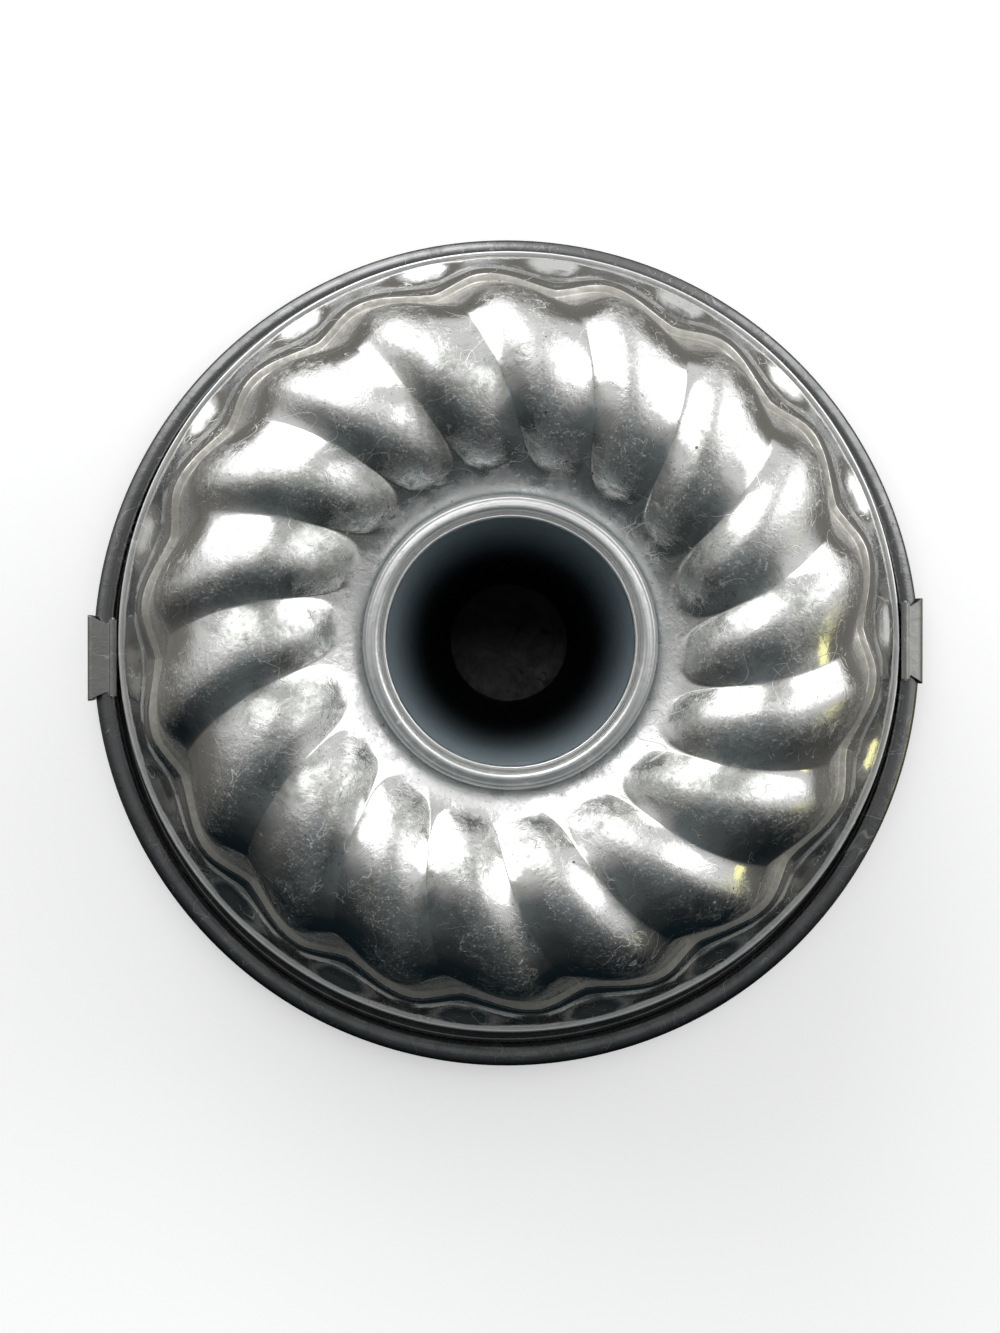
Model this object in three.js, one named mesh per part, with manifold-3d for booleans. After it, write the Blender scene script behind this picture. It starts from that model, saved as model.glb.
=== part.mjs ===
// Steamed pudding mould standing dome up on its lid. Millimetres, +Z up.
// The lid's axis is the origin's Z axis and its foot ring stands on z = 0.
import * as THREE from "three";
import { mergeVertices } from "three/addons/utils/BufferGeometryUtils.js";
import Module from "manifold-3d";

const wasm = await Module();
wasm.setup();

// ---- driving dimensions -------------------------------------------------
const LOBES = 18; // swirled flutes around the dome
const SHEET = 0.8; // thickness of the tinplate shell, tube and lid
const MOULD_X = 0.5; // the mould rests off-centre on the lid by this much
const MOULD_Y = 2.3;
const FOOT_Z = 7.8; // the mould's rim above the table
const RIM_R = 80; // outer radius of the mould's hemmed rim
const CREASE_ANGLE = -17.65; // angle of one crease at the foot, degrees from +X
const LOBE_SAMPLES = [0, 0.17, 0.34, 0.5, 0.64, 0.82]; // places across one flute, crease to crease

const TUBE_TOP_R = 21.5; // bore at the seam
const TUBE_END_R = 11.9; // bore at the lid end
const TUBE_END_Z = 1.8; // above the rim
const SEAM_R = 23.8; // crest of the rolled seam
const SEAM_Z = 79.3;

const BEAD_R = 82.5; // centre line of the lid's rolled rim
const BEAD_Z = 4.4;
const BEAD_TUBE = 2.5; // radius of the roll
const WIRE_TUBE = 1.45; // radius of the wire inside it
const SEAT_Z = 6.9; // top of the lid's seat, under the mould's rim
const PANEL_Z = 5.2; // underside of the lid's centre panel
const LID_SEGMENTS = 48;

const CLIP_SHEET = 0.6;
const CLIP_EYE_R = 0.85; // outer radius of the rolled eye
const CLIP_EYE_AT = [-1.95, 3.06]; // from the rim roll's centre: outward, up
const CLIP_ROD_R = 0.36;
const CLIP_NECK = 7.05; // half widths
const CLIP_EYE_HALF = 7.9;
const CLIP_OUTER = 8.8;
const CLIP_WRAP_R = 3.25; // outside of the right clip around the roll
const CLIP_Y = { left: -0.9, right: 2.6 }; // places of the clips along the rim
const CLIP_RIGHT_TURN = 18.5; // the right clip stands swung out by this angle

const WIRE_R = 1.5; // bail handle
const BAIL_HALF = 22.5;
const BAIL_ARM = 32;
const BAIL_Y = 10;
const BAIL_Z = 3.5;
const BAIL_DROP = 3.4; // degrees, its grip lies on the table
const SADDLE_X = [26, 31];
const SADDLE_SHEET = 0.7;
const RIVET_R = 1.2;
const RIVET_Y = 6; // from the handle's axis

// ---- flutes -------------------------------------------------------------
// Stations from the rim inwards, over the plain collar, its ledge and the flutes: crest radius
// and height, crease radius and height (heights from the rim), swirl in degrees, place of the crest across the flute,
// share of the flute's width that is raised.
const STATIONS = [
  [79.2, 0.0, 79.2, 0.0, -0.3, 0.58, 1],
  [78.95, 0.7, 78.85, 0.35, -0.3, 0.58, 0.82],
  [78.4, 2.5, 77.9, 1.35, -0.3, 0.58, 0.82],
  [77.3, 5.9, 76.3, 2.95, -0.3, 0.58, 0.82],
  [76.1, 9.6, 74.5, 5.3, -0.3, 0.58, 0.82],
  [74.9, 13.4, 72.75, 10.2, -0.3, 0.58, 0.92],
  [74.15, 16.0, 71.95, 15.2, -0.3, 0.58, 1],
  [73.78, 17.0, 71.45, 16.2, -0.25, 0.58, 1],
  [73.2, 18.4, 70.4, 17.8, -0.2, 0.58, 1],
  [72.65, 19.6, 69.85, 19.25, -0.2, 0.58, 1],
  [71.9, 20.1, 69.1, 19.85, -0.2, 0.58, 1],
  [71.1, 20.5, 68.35, 20.3, -0.15, 0.58, 1],
  [70.55, 21.5, 67.85, 21.4, 0.0, 0.585, 1],
  [70.2, 23.6, 67.5, 23.8, 0.2, 0.59, 1],
  [68.55, 34.9, 65.7, 35.3, 1.0, 0.61, 1],
  [65.55, 55.3, 62.6, 55.3, 2.2, 0.63, 1],
  [63.5, 69.3, 60.5, 68.6, 3.2, 0.64, 1],
  [60.3, 78.2, 58.2, 76.6, 4.2, 0.64, 1],
  [55.6, 83.6, 54.3, 81.5, 6.3, 0.64, 1],
  [49.9, 86.8, 49.3, 84.5, 8.8, 0.6, 1],
  [43.6, 87.7, 43.7, 85.4, 11.4, 0.57, 1],
  [38.6, 86.3, 39.2, 84.2, 13.3, 0.56, 1],
  [35.4, 84.2, 36.2, 82.3, 14.7, 0.555, 0.98],
  [33.2, 82.1, 33.8, 80.7, 15.8, 0.55, 0.92],
  [31.6, 80.3, 31.9, 79.5, 16.6, 0.55, 0.8],
  [30.4, 79.0, 30.5, 78.65, 17.1, 0.55, 0.62],
  [29.3, 78.05, 29.3, 77.95, 17.4, 0.55, 0.5],
  [27.6, 77.05, 27.6, 77.05, 17.6, 0.55, 1],
  [26.0, 76.25, 26.0, 76.25, 17.6, 0.55, 1],
  [24.9, 75.88, 24.9, 75.88, 17.6, 0.55, 1],
  [23.4, 75.85, 23.4, 75.85, 17.6, 0.55, 1],
];

const rad = THREE.MathUtils.degToRad;

// Height across a flute: 0 in the crease, 1 on the crest, a soft wave with a slight fold in the crease.
function lobe(u, crest, width) {
  const v = (u < crest ? (crest - u) / crest : (u - crest) / (1 - crest)) / width;
  if (v >= 1) return 0;
  return 0.75 * Math.cos((Math.PI * v) / 2) ** 2 + 0.25 * (1 - v * v);
}

function fluteAngle(k, u, swirl) {
  return rad(CREASE_ANGLE - swirl + (360 / LOBES) * (k + u));
}

function onShell(k, u, j) {
  const [rc, zc, rv, zv, swirl, crest, width] = STATIONS[j];
  const kk = k + Math.floor(u);
  const uu = u - Math.floor(u);
  const w = lobe(uu, crest, width);
  const a = fluteAngle(kk, uu, swirl);
  const r = rv + (rc - rv) * w;
  return new THREE.Vector3(r * Math.cos(a), r * Math.sin(a), zv + (zc - zv) * w);
}

function shellNormal(k, u, j) {
  const at = onShell(k, u, j);
  const along = new THREE.Vector3();
  if (j > 0) along.add(at.clone().sub(onShell(k, u, j - 1)).normalize());
  if (j < STATIONS.length - 1) along.add(onShell(k, u, j + 1).sub(at).normalize());
  const round = onShell(k, u + 0.06, j).sub(onShell(k, u - 0.06, j));
  return round.cross(along).normalize();
}

// ---- helpers ------------------------------------------------------------
function faceOut(geometry) {
  const p = geometry.attributes.position;
  const index = geometry.index;
  const a = new THREE.Vector3(), b = new THREE.Vector3(), c = new THREE.Vector3();
  let volume = 0;
  for (let i = 0; i < index.count; i += 3) {
    a.fromBufferAttribute(p, index.getX(i));
    b.fromBufferAttribute(p, index.getX(i + 1));
    c.fromBufferAttribute(p, index.getX(i + 2));
    volume += a.dot(b.cross(c));
  }
  if (volume < 0)
    for (let i = 0; i < index.count; i += 3) {
      const x = index.getX(i + 1);
      index.setX(i + 1, index.getX(i + 2));
      index.setX(i + 2, x);
    }
  return geometry;
}

// One welded surface without slivers on the axis.
function weld(geometry) {
  const bare = new THREE.BufferGeometry();
  bare.setAttribute("position", geometry.attributes.position.clone());
  if (geometry.index) bare.setIndex(geometry.index.clone());
  const merged = mergeVertices(bare, 1e-3);
  const from = merged.index.array;
  const kept = [];
  for (let i = 0; i < from.length; i += 3)
    if (from[i] !== from[i + 1] && from[i + 1] !== from[i + 2] && from[i] !== from[i + 2])
      kept.push(from[i], from[i + 1], from[i + 2]);
  merged.setIndex(kept);
  return faceOut(merged);
}

// A profile of [radius, height] pairs turned about Z.
function turned(profile, segments) {
  const points = profile.map(([r, z]) => new THREE.Vector2(r, z));
  return weld(new THREE.LatheGeometry(points, segments).rotateX(Math.PI / 2));
}

function toSolid(geometry) {
  const g = weld(geometry);
  return new wasm.Manifold(
    new wasm.Mesh({
      numProp: 3,
      vertProperties: new Float32Array(g.attributes.position.array),
      triVerts: new Uint32Array(g.index.array),
    }),
  );
}

function fromSolid(solid) {
  const mesh = solid.getMesh();
  const g = new THREE.BufferGeometry();
  const xyz = new Float32Array((mesh.vertProperties.length / mesh.numProp) * 3);
  for (let i = 0; i < xyz.length / 3; i++)
    for (let c = 0; c < 3; c++) xyz[3 * i + c] = mesh.vertProperties[i * mesh.numProp + c];
  g.setAttribute("position", new THREE.BufferAttribute(xyz, 3));
  g.setIndex(Array.from(mesh.triVerts));
  return g;
}

function drill(geometry, holes) {
  let solid = toSolid(geometry);
  for (const [x, y, r, low, high] of holes) {
    const pin = new THREE.CylinderGeometry(r, r, high - low, 14).rotateX(Math.PI / 2);
    pin.translate(x, y, (low + high) / 2);
    solid = solid.subtract(toSolid(pin));
  }
  return fromSolid(solid);
}

const tin = (color, roughness) => new THREE.MeshStandardMaterial({ color, roughness, metalness: 1 });

function piece(name, geometry, material) {
  geometry.computeVertexNormals();
  const mesh = new THREE.Mesh(geometry, material);
  mesh.name = name;
  return mesh;
}

function arc(cx, cz, r, from, to, steps) {
  const points = [];
  for (let i = 0; i <= steps; i++) {
    const a = rad(from + ((to - from) * i) / steps);
    points.push([cx + r * Math.cos(a), cz + r * Math.sin(a)]);
  }
  return points;
}

// ---- mould --------------------------------------------------------------
// The closed section is turned as a plain lathe first, then the flutes are pressed into it.
function flutedShell() {
  const last = STATIONS.length - 1;
  const hem = [
    [79.35, 0.32],
    [79.75, 0.36],
    [RIM_R, 0.05],
    [RIM_R, -0.5],
    [79.7, -SHEET],
  ];
  const inner = [];
  for (let j = last; j >= 0; j--) if (![1, 3, 6, 7, 10, 12, 24, 26, 29].includes(j)) inner.push(j);
  const section = [];
  for (let j = last; j >= 0; j--) section.push({ kind: "out", j });
  for (const [r, z] of hem) section.push({ kind: "hem", r, z });
  for (const j of inner.slice().reverse()) section.push({ kind: "in", j });
  section.push(section[0]);
  const flat = section.map((s) => new THREE.Vector2(s.r ?? STATIONS[s.j][0], s.z ?? STATIONS[s.j][1]));
  const count = LOBES * LOBE_SAMPLES.length;
  const geometry = new THREE.LatheGeometry(flat, count);
  const position = geometry.attributes.position;
  const memory = new Map();
  for (let i = 0; i <= count; i++) {
    const k = Math.floor((i % count) / LOBE_SAMPLES.length);
    const u = LOBE_SAMPLES[i % LOBE_SAMPLES.length];
    section.forEach((s, n) => {
      const key = `${i % count}/${n % (section.length - 1)}`;
      let p = memory.get(key);
      if (!p) {
        if (s.kind === "hem") {
          const a = fluteAngle(k, u, STATIONS[0][4]);
          p = new THREE.Vector3(s.r * Math.cos(a), s.r * Math.sin(a), s.z);
        } else {
          p = onShell(k, u, s.j);
          if (s.kind === "in") p.addScaledVector(shellNormal(k, u, s.j), -SHEET);
        }
        memory.set(key, p);
      }
      position.setXYZ(i * section.length + n, p.x, p.y, p.z);
    });
  }
  return weld(geometry);
}

const mould = new THREE.Group();
mould.position.set(MOULD_X, MOULD_Y, FOOT_Z);
mould.add(piece("fluted_shell", flutedShell(), tin(0xa9aaa6, 0.26)));

// The tube's upper end is rolled outwards over the shell's inner edge.
const tubeProfile = [
  [TUBE_END_R, TUBE_END_Z],
  [TUBE_END_R + SHEET, TUBE_END_Z],
  [22.3, 74.5],
  [22.5, 76.1],
  [25.1, 76.1],
  [25.7, 76.8],
  [25.7, 77.8],
  [25.0, 78.8],
  [SEAM_R, SEAM_Z],
  [22.6, 78.9],
  [21.8, 78.0],
  [TUBE_TOP_R, 76.7],
  [TUBE_TOP_R - 0.1, 74.5],
  [TUBE_END_R, TUBE_END_Z],
];
mould.add(piece("centre_tube", turned(tubeProfile, 48), tin(0x8d9296, 0.3)));

// ---- lid ----------------------------------------------------------------
const top = PANEL_Z + SHEET;
const lidProfile = [
  // upper face, from the panel's middle to the groove inside the rolled rim
  [0, top],
  [50.3, top],
  [52.0, top - 0.6],
  [53.6, 1.7],
  [54.9, SHEET],
  [66.1, SHEET],
  [67.5, 1.4],
  [69.6, 5.6],
  [70.9, SEAT_Z],
  [77.4, SEAT_Z],
  [78.3, 6.2],
  [78.8, 4.6],
  [79.5, 3.6],
  // rolled rim: outside of the roll, its open edge, inside of the roll
  ...arc(BEAD_R, BEAD_Z, BEAD_TUBE, 192, -120, 11),
  ...arc(BEAD_R, BEAD_Z, BEAD_TUBE - SHEET, -120, 202, 9),
  // lower face back to the middle
  [79.9, 2.75],
  [78.9, 2.8],
  [78.1, 4.2],
  [77.6, 5.7],
  [76.9, SEAT_Z - SHEET],
  [71.4, SEAT_Z - SHEET],
  [70.3, 5.0],
  [68.1, 0.7],
  [66.6, 0],
  [54.4, 0],
  [53.0, 1.0],
  [51.4, PANEL_Z - 0.6],
  [50.0, PANEL_Z],
  [0, PANEL_Z],
];
const rivetPlaces = [];
for (const sx of [-1, 1])
  for (const sy of [-1, 1])
    rivetPlaces.push([(sx * (SADDLE_X[0] + SADDLE_X[1])) / 2, BAIL_Y + sy * RIVET_Y]);
const lidPan = drill(
  turned(lidProfile, LID_SEGMENTS),
  rivetPlaces.map(([x, y]) => [x, y, RIVET_R + 0.12, PANEL_Z - 1, top + 1]),
);

const lid = new THREE.Group();
lid.add(piece("lid_pan", lidPan, tin(0x8c8d8a, 0.34)));
const wireSection = arc(BEAD_R, BEAD_Z, WIRE_TUBE, 0, 360, 8);
wireSection[8] = wireSection[0];
lid.add(piece("lid_rim_wire", turned(wireSection, LID_SEGMENTS), tin(0x77787a, 0.5)));

// ---- clips on the rolled rim --------------------------------------------
// Section in [outward, up] from the roll's centre, with a half width at each corner.
// The left clip is sprung open to a flat plate, the right one is pressed close around the roll.
function clipSection(close) {
  const [ex, ez] = CLIP_EYE_AT;
  const flatPlate = [
    [2.3, 3.35, CLIP_OUTER - 0.45],
    [2.85, 3.2, CLIP_OUTER - 0.2],
    [3.25, 2.8, CLIP_OUTER],
    [3.4, 2.25, CLIP_OUTER],
    [3.4, -2.3, CLIP_OUTER],
    [3.2, -2.6, CLIP_OUTER],
    [2.45, -2.5, CLIP_OUTER],
    [2.55, -2.0, CLIP_OUTER],
    [2.8, -1.6, CLIP_OUTER],
    [2.8, 2.2, CLIP_OUTER],
    [2.65, 2.6, CLIP_OUTER - 0.2],
    [2.3, 2.75, CLIP_OUTER - 0.45],
  ];
  const wrap = (r, from, to) =>
    arc(0, 0, r, from, to, 8).map(([x, z]) => [x, z, CLIP_NECK + (CLIP_OUTER - CLIP_NECK) * Math.min(1, Math.max(0, (x + 0.95) / 3.6))]);
  const plate = [
    [-1.151, 3.35, CLIP_EYE_HALF],
    [-0.95, 3.35, CLIP_NECK],
    ...(close ? [...wrap(CLIP_WRAP_R, 90, -42), ...wrap(CLIP_WRAP_R - CLIP_SHEET, -42, 90)] : flatPlate),
    [-0.95, 2.75, CLIP_NECK],
    [-1.1585, 2.75, CLIP_EYE_HALF],
  ];
  for (const a of [-55, -90, -125, -160, 165, 130, 95, 55])
    plate.push([ex + CLIP_EYE_R * Math.cos(rad(a)), ez + CLIP_EYE_R * Math.sin(rad(a)), CLIP_EYE_HALF]);
  return plate;
}

const CLIP_HOLE_R = CLIP_ROD_R + 0.06;

function clip(side, turn, close, along) {
  const corners = clipSection(close);
  const [ex, ez] = CLIP_EYE_AT;
  const shape = new THREE.Shape(corners.map(([x, z]) => new THREE.Vector2(x, z)));
  const eye = arc(ex, ez, CLIP_HOLE_R, 0, 324, 9).map(([x, z]) => new THREE.Vector2(x, z));
  shape.holes.push(new THREE.Path(eye));
  const geometry = new THREE.ExtrudeGeometry(shape, { depth: 1, steps: 1, bevelEnabled: false });
  const halfAt = (x, z) => {
    for (const [cx, cz, half] of corners) if (Math.hypot(cx - x, cz - z) < 1e-4) return half;
    return CLIP_EYE_HALF;
  };
  const p = geometry.attributes.position;
  const c = Math.cos(rad(-turn)), s = Math.sin(rad(-turn));
  for (let i = 0; i < p.count; i++) {
    const x = p.getX(i), z = p.getY(i);
    const y = (p.getZ(i) > 0.5 ? 1 : -1) * halfAt(x, z);
    p.setXYZ(i, side * (BEAD_R + x * c - z * s), y + along, BEAD_Z + x * s + z * c);
  }
  return weld(geometry);
}

function clipRod(side, turn, along) {
  const [ex, ez] = CLIP_EYE_AT;
  const c = Math.cos(rad(-turn)), s = Math.sin(rad(-turn));
  const rod = new THREE.CylinderGeometry(CLIP_ROD_R, CLIP_ROD_R, 2 * CLIP_EYE_HALF + 0.7, 10);
  rod.translate(side * (BEAD_R + ex * c - ez * s), along, BEAD_Z + ex * s + ez * c);
  return weld(rod);
}

const clips = new THREE.Group();
clips.add(piece("clip_left", clip(-1, 0, false, CLIP_Y.left), tin(0x9a9a98, 0.45)));
clips.add(piece("clip_rod_left", clipRod(-1, 0, CLIP_Y.left), tin(0x9c9c9a, 0.4)));
clips.add(piece("clip_right", clip(1, CLIP_RIGHT_TURN, true, CLIP_Y.right), tin(0x9a9a98, 0.45)));
clips.add(piece("clip_rod_right", clipRod(1, CLIP_RIGHT_TURN, CLIP_Y.right), tin(0x9c9c9a, 0.4)));

// ---- handle under the lid -----------------------------------------------
function bailHandle() {
  const v = (x, y) => new THREE.Vector3(x, y, 0);
  const b = BAIL_HALF, a = BAIL_ARM, small = 3, big = 7, stub = SADDLE_X[1] + 1;
  const path = new THREE.CurvePath();
  const side = (s) => [
    new THREE.LineCurve3(v(s * stub, 0), v(s * (b + small), 0)),
    new THREE.QuadraticBezierCurve3(v(s * (b + small), 0), v(s * b, 0), v(s * b, -small)),
    new THREE.LineCurve3(v(s * b, -small), v(s * b, -a + big)),
    new THREE.QuadraticBezierCurve3(v(s * b, -a + big), v(s * b, -a), v(s * (b - big), -a)),
  ];
  for (const c of side(-1)) path.add(c);
  path.add(new THREE.LineCurve3(v(-b + big, -a), v(b - big, -a)));
  for (const c of side(1).reverse()) {
    if (c.isLineCurve3) path.add(new THREE.LineCurve3(c.v2, c.v1));
    else path.add(new THREE.QuadraticBezierCurve3(c.v2, c.v1, c.v0));
  }
  const ring = new THREE.Shape(arc(0, 0, WIRE_R, 0, 315, 7).map(([x, y]) => new THREE.Vector2(x, y)));
  const wire = new THREE.ExtrudeGeometry(ring, { steps: 56, bevelEnabled: false, extrudePath: path });
  wire.rotateX(rad(BAIL_DROP)).translate(0, BAIL_Y, BAIL_Z);
  return weld(wire);
}

function saddle(side) {
  const i = WIRE_R + 0.1, o = i + SADDLE_SHEET, foot = 9.5;
  const high = PANEL_Z - 0.05 - BAIL_Z, low = high - SADDLE_SHEET;
  const outline = [
    [-foot, high], [-i, high], ...arc(0, 0, i, 180, 360, 8), [i, high], [foot, high],
    [foot, low], [o, low], ...arc(0, 0, o, 0, -180, 8), [-o, low], [-foot, low],
  ];
  const shape = new THREE.Shape(outline.map(([y, z]) => new THREE.Vector2(y, z)));
  const strap = new THREE.ExtrudeGeometry(shape, { depth: SADDLE_X[1] - SADDLE_X[0], steps: 1, bevelEnabled: false });
  const p = strap.attributes.position;
  for (let n = 0; n < p.count; n++)
    p.setXYZ(n, side * (SADDLE_X[0] + p.getZ(n)), BAIL_Y + p.getX(n), BAIL_Z + p.getY(n));
  const holes = rivetPlaces
    .filter(([x]) => x * side > 0)
    .map(([x, y]) => [x, y, RIVET_R + 0.12, PANEL_Z - 3, PANEL_Z + 1]);
  return drill(strap, holes);
}

function rivet(x, y) {
  const under = PANEL_Z - 0.05 - SADDLE_SHEET - 0.05, over = top + 0.05;
  const profile = [
    [0, under - 1.0],
    [1.0, under - 0.85],
    [1.8, under - 0.4],
    [2.0, under],
    [RIVET_R, under],
    [RIVET_R, over],
    [1.9, over],
    [1.6, over + 0.45],
    [0.8, over + 0.65],
    [0, over + 0.7],
  ];
  return turned(profile, 14).translate(x, y, 0);
}

const handle = new THREE.Group();
handle.add(piece("bail_handle", bailHandle(), tin(0x8f9092, 0.35)));
handle.add(piece("handle_saddle_left", saddle(-1), tin(0x969694, 0.4)));
handle.add(piece("handle_saddle_right", saddle(1), tin(0x969694, 0.4)));
rivetPlaces.forEach(([x, y], n) => handle.add(piece(`handle_rivet_${n + 1}`, rivet(x, y), tin(0x9b9b99, 0.4))));

const part = new THREE.Group();
part.add(mould, lid, clips, handle);
export default part;
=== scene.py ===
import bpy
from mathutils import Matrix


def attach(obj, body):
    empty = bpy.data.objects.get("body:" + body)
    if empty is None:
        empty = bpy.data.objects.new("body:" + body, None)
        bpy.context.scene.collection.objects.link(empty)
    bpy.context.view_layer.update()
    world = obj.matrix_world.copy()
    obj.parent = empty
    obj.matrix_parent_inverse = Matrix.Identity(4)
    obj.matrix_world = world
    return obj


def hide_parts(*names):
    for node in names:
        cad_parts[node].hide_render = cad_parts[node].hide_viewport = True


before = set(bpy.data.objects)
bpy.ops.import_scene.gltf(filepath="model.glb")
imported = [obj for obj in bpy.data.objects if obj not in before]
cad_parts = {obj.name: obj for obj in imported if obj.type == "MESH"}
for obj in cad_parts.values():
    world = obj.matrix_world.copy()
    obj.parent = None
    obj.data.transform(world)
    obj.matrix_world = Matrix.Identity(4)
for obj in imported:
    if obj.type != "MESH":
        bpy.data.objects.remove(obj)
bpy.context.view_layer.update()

import math

import bmesh
import bpy
import numpy as np
from mathutils import Vector

# Steamed pudding mould standing dome up on its lid. Lengths below are in millimetres until a mesh is made.
MM = 0.001
RNG = np.random.RandomState(11)

# ---------------------------------------------------------------- dimensions
LOBES = 18
SHEET = 0.8
MOULD = np.array([0.5, 2.3, 7.8])  # the mould's axis and the top of its flange
RIM_R = 80.0
CREASE_ANGLE = -17.65
BEAD_R, BEAD_Z, BEAD_TUBE = 82.5, 4.4, 2.5
SEAT_Z, PANEL_Z = 6.9, 5.2
BAIL_Y, BAIL_Z, BAIL_DROP = 10.0, 3.5, 3.4

# crest radius, crest height, crease radius, crease height, swirl, place of the crest across the flute,
# share of the flute's width that is raised, how finger-like its cross-section is
STATIONS = np.array([
    [79.2, 0.00, 79.2, 0.00, -0.3, 0.58, 1, 0],
    [78.95, 0.70, 78.85, 0.35, -0.3, 0.58, 0.82, 0],
    [78.4, 2.50, 77.9, 1.35, -0.3, 0.58, 0.82, 0],
    [77.3, 5.90, 76.3, 2.95, -0.3, 0.58, 0.82, 0],
    [76.1, 9.60, 74.5, 5.30, -0.3, 0.58, 0.82, 0],
    [74.9, 13.4, 72.75, 10.2, -0.3, 0.58, 0.92, 0],
    [74.15, 16.0, 71.95, 15.2, -0.3, 0.58, 1, 0],
    [73.78, 17.0, 71.45, 16.2, -0.25, 0.58, 1, 0],
    [73.2, 18.4, 70.4, 17.8, -0.2, 0.58, 1, 0],
    [72.65, 19.9, 69.85, 19.55, -0.2, 0.58, 1, 0],
    [71.9, 20.25, 69.1, 19.95, -0.2, 0.58, 1, 0],
    [71.1, 20.45, 68.35, 20.2, -0.15, 0.58, 1, 0],
    [70.55, 21.5, 67.85, 21.4, 0.0, 0.585, 1, 0],
    [70.2, 23.6, 67.5, 23.8, 0.2, 0.59, 1, 0],
    [68.55, 34.9, 65.7, 35.3, 1.0, 0.61, 1, 0],
    [65.55, 55.3, 62.6, 55.3, 2.2, 0.63, 1, 0],
    [63.5, 69.3, 60.5, 68.6, 3.2, 0.64, 1, 0],
    [60.3, 78.2, 58.2, 76.6, 4.2, 0.64, 1, 0],
    [55.6, 83.6, 54.3, 81.5, 6.3, 0.64, 1, 0],
    [49.9, 86.8, 49.3, 84.5, 8.8, 0.60, 1, 0],
    [43.6, 87.7, 43.7, 85.4, 11.4, 0.57, 1, 0],
    [38.6, 86.3, 39.2, 84.2, 13.3, 0.56, 1, 0.1],
    [35.4, 84.2, 36.2, 82.3, 14.7, 0.555, 0.98, 0.35],
    [33.2, 82.1, 33.8, 80.7, 15.8, 0.55, 0.92, 0.6],
    [31.6, 80.3, 31.9, 79.5, 16.6, 0.55, 0.80, 0.8],
    [30.4, 79.0, 30.5, 78.65, 17.1, 0.55, 0.62, 0.9],
    [29.3, 78.05, 29.3, 77.95, 17.4, 0.55, 0.50, 0.9],
    [27.6, 77.05, 27.6, 77.05, 17.6, 0.55, 0.40, 0.9],
    [26.0, 76.25, 26.0, 76.25, 17.6, 0.55, 0.40, 0.9],
    [24.9, 75.88, 24.9, 75.88, 17.6, 0.55, 0.40, 0.9],
    [23.4, 75.85, 23.4, 75.85, 17.6, 0.55, 0.40, 0.9],
])


# ---------------------------------------------------------------- small tools
def spline(t, y, at):
    """Natural cubic spline through y at t, read at the places at. y may have several columns."""
    n = len(t)
    h = np.diff(t)
    a = np.zeros((n, n))
    b = np.zeros((n, y.shape[1]))
    a[0, 0] = a[-1, -1] = 1
    for i in range(1, n - 1):
        a[i, i - 1], a[i, i], a[i, i + 1] = h[i - 1], 2 * (h[i - 1] + h[i]), h[i]
        b[i] = 3 * ((y[i + 1] - y[i]) / h[i] - (y[i] - y[i - 1]) / h[i - 1])
    c = np.linalg.solve(a, b)
    k = np.clip(np.searchsorted(t, at, side="right") - 1, 0, n - 2)
    d = ((at - t[k]))[:, None]
    hk = h[k][:, None]
    bb = (y[k + 1] - y[k]) / hk - hk * (2 * c[k] + c[k + 1]) / 3
    dd = (c[k + 1] - c[k]) / (3 * hk)
    return y[k] + bb * d + c[k] * d ** 2 + dd * d ** 3


def shape_keeping(t, y, at):
    """Cubic through y at t that never swings past its points, read at the places at."""
    h = np.diff(t)[:, None]
    m = np.diff(y, axis=0) / h
    d = np.zeros_like(y)
    d[0], d[-1] = m[0], m[-1]
    w1, w2 = 2 * h[1:] + h[:-1], h[1:] + 2 * h[:-1]
    same = m[:-1] * m[1:] > 0
    safe0, safe1 = np.where(same, m[:-1], 1.0), np.where(same, m[1:], 1.0)
    d[1:-1] = np.where(same, (w1 + w2) / (w1 / safe0 + w2 / safe1), 0.0)
    k = np.clip(np.searchsorted(t, at, side="right") - 1, 0, len(t) - 2)
    hk = h[k]
    x = ((at - t[k]))[:, None] / hk
    return (y[k] * (1 + 2 * x) * (1 - x) ** 2 + hk * d[k] * x * (1 - x) ** 2
            + y[k + 1] * x * x * (3 - 2 * x) + hk * d[k + 1] * x * x * (x - 1))


def round_corners(points, times=2, closed=False):
    """Corner cutting: a polyline with softer corners and the same ends."""
    p = np.array(points, float)
    for _ in range(times):
        q = []
        n = len(p)
        for i in range(n - (0 if closed else 1)):
            a, b = p[i], p[(i + 1) % n]
            q += [a * 0.75 + b * 0.25, a * 0.25 + b * 0.75]
        if not closed:
            q = [p[0]] + q[1:-1] + [p[-1]]
        p = np.array(q)
    return p


def arc(cx, cz, r, a0, a1, n):
    a = np.radians(np.linspace(a0, a1, n + 1))
    return np.stack([cx + r * np.cos(a), cz + r * np.sin(a)], 1)


def mesh_object(name, verts, faces, body, node, material, attributes=None, sharp=None):
    me = bpy.data.meshes.new(name)
    me.from_pydata([tuple(v) for v in np.asarray(verts, float) * MM], [], [tuple(int(i) for i in f) for f in faces])
    bm = bmesh.new()
    bm.from_mesh(me)
    bmesh.ops.recalc_face_normals(bm, faces=bm.faces)
    bm.to_mesh(me)
    bm.free()
    for key, values in (attributes or {}).items():
        layer = me.attributes.new(key, "FLOAT", "POINT")
        layer.data.foreach_set("value", np.asarray(values, np.float32))
    me.polygons.foreach_set("use_smooth", [True] * len(me.polygons))
    if sharp is not None:
        me.set_sharp_from_angle(angle=math.radians(sharp))
    me.materials.append(material)
    o = bpy.data.objects.new(name, me)
    bpy.context.scene.collection.objects.link(o)
    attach(o, body)
    if node:
        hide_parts(node)
    return o


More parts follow.
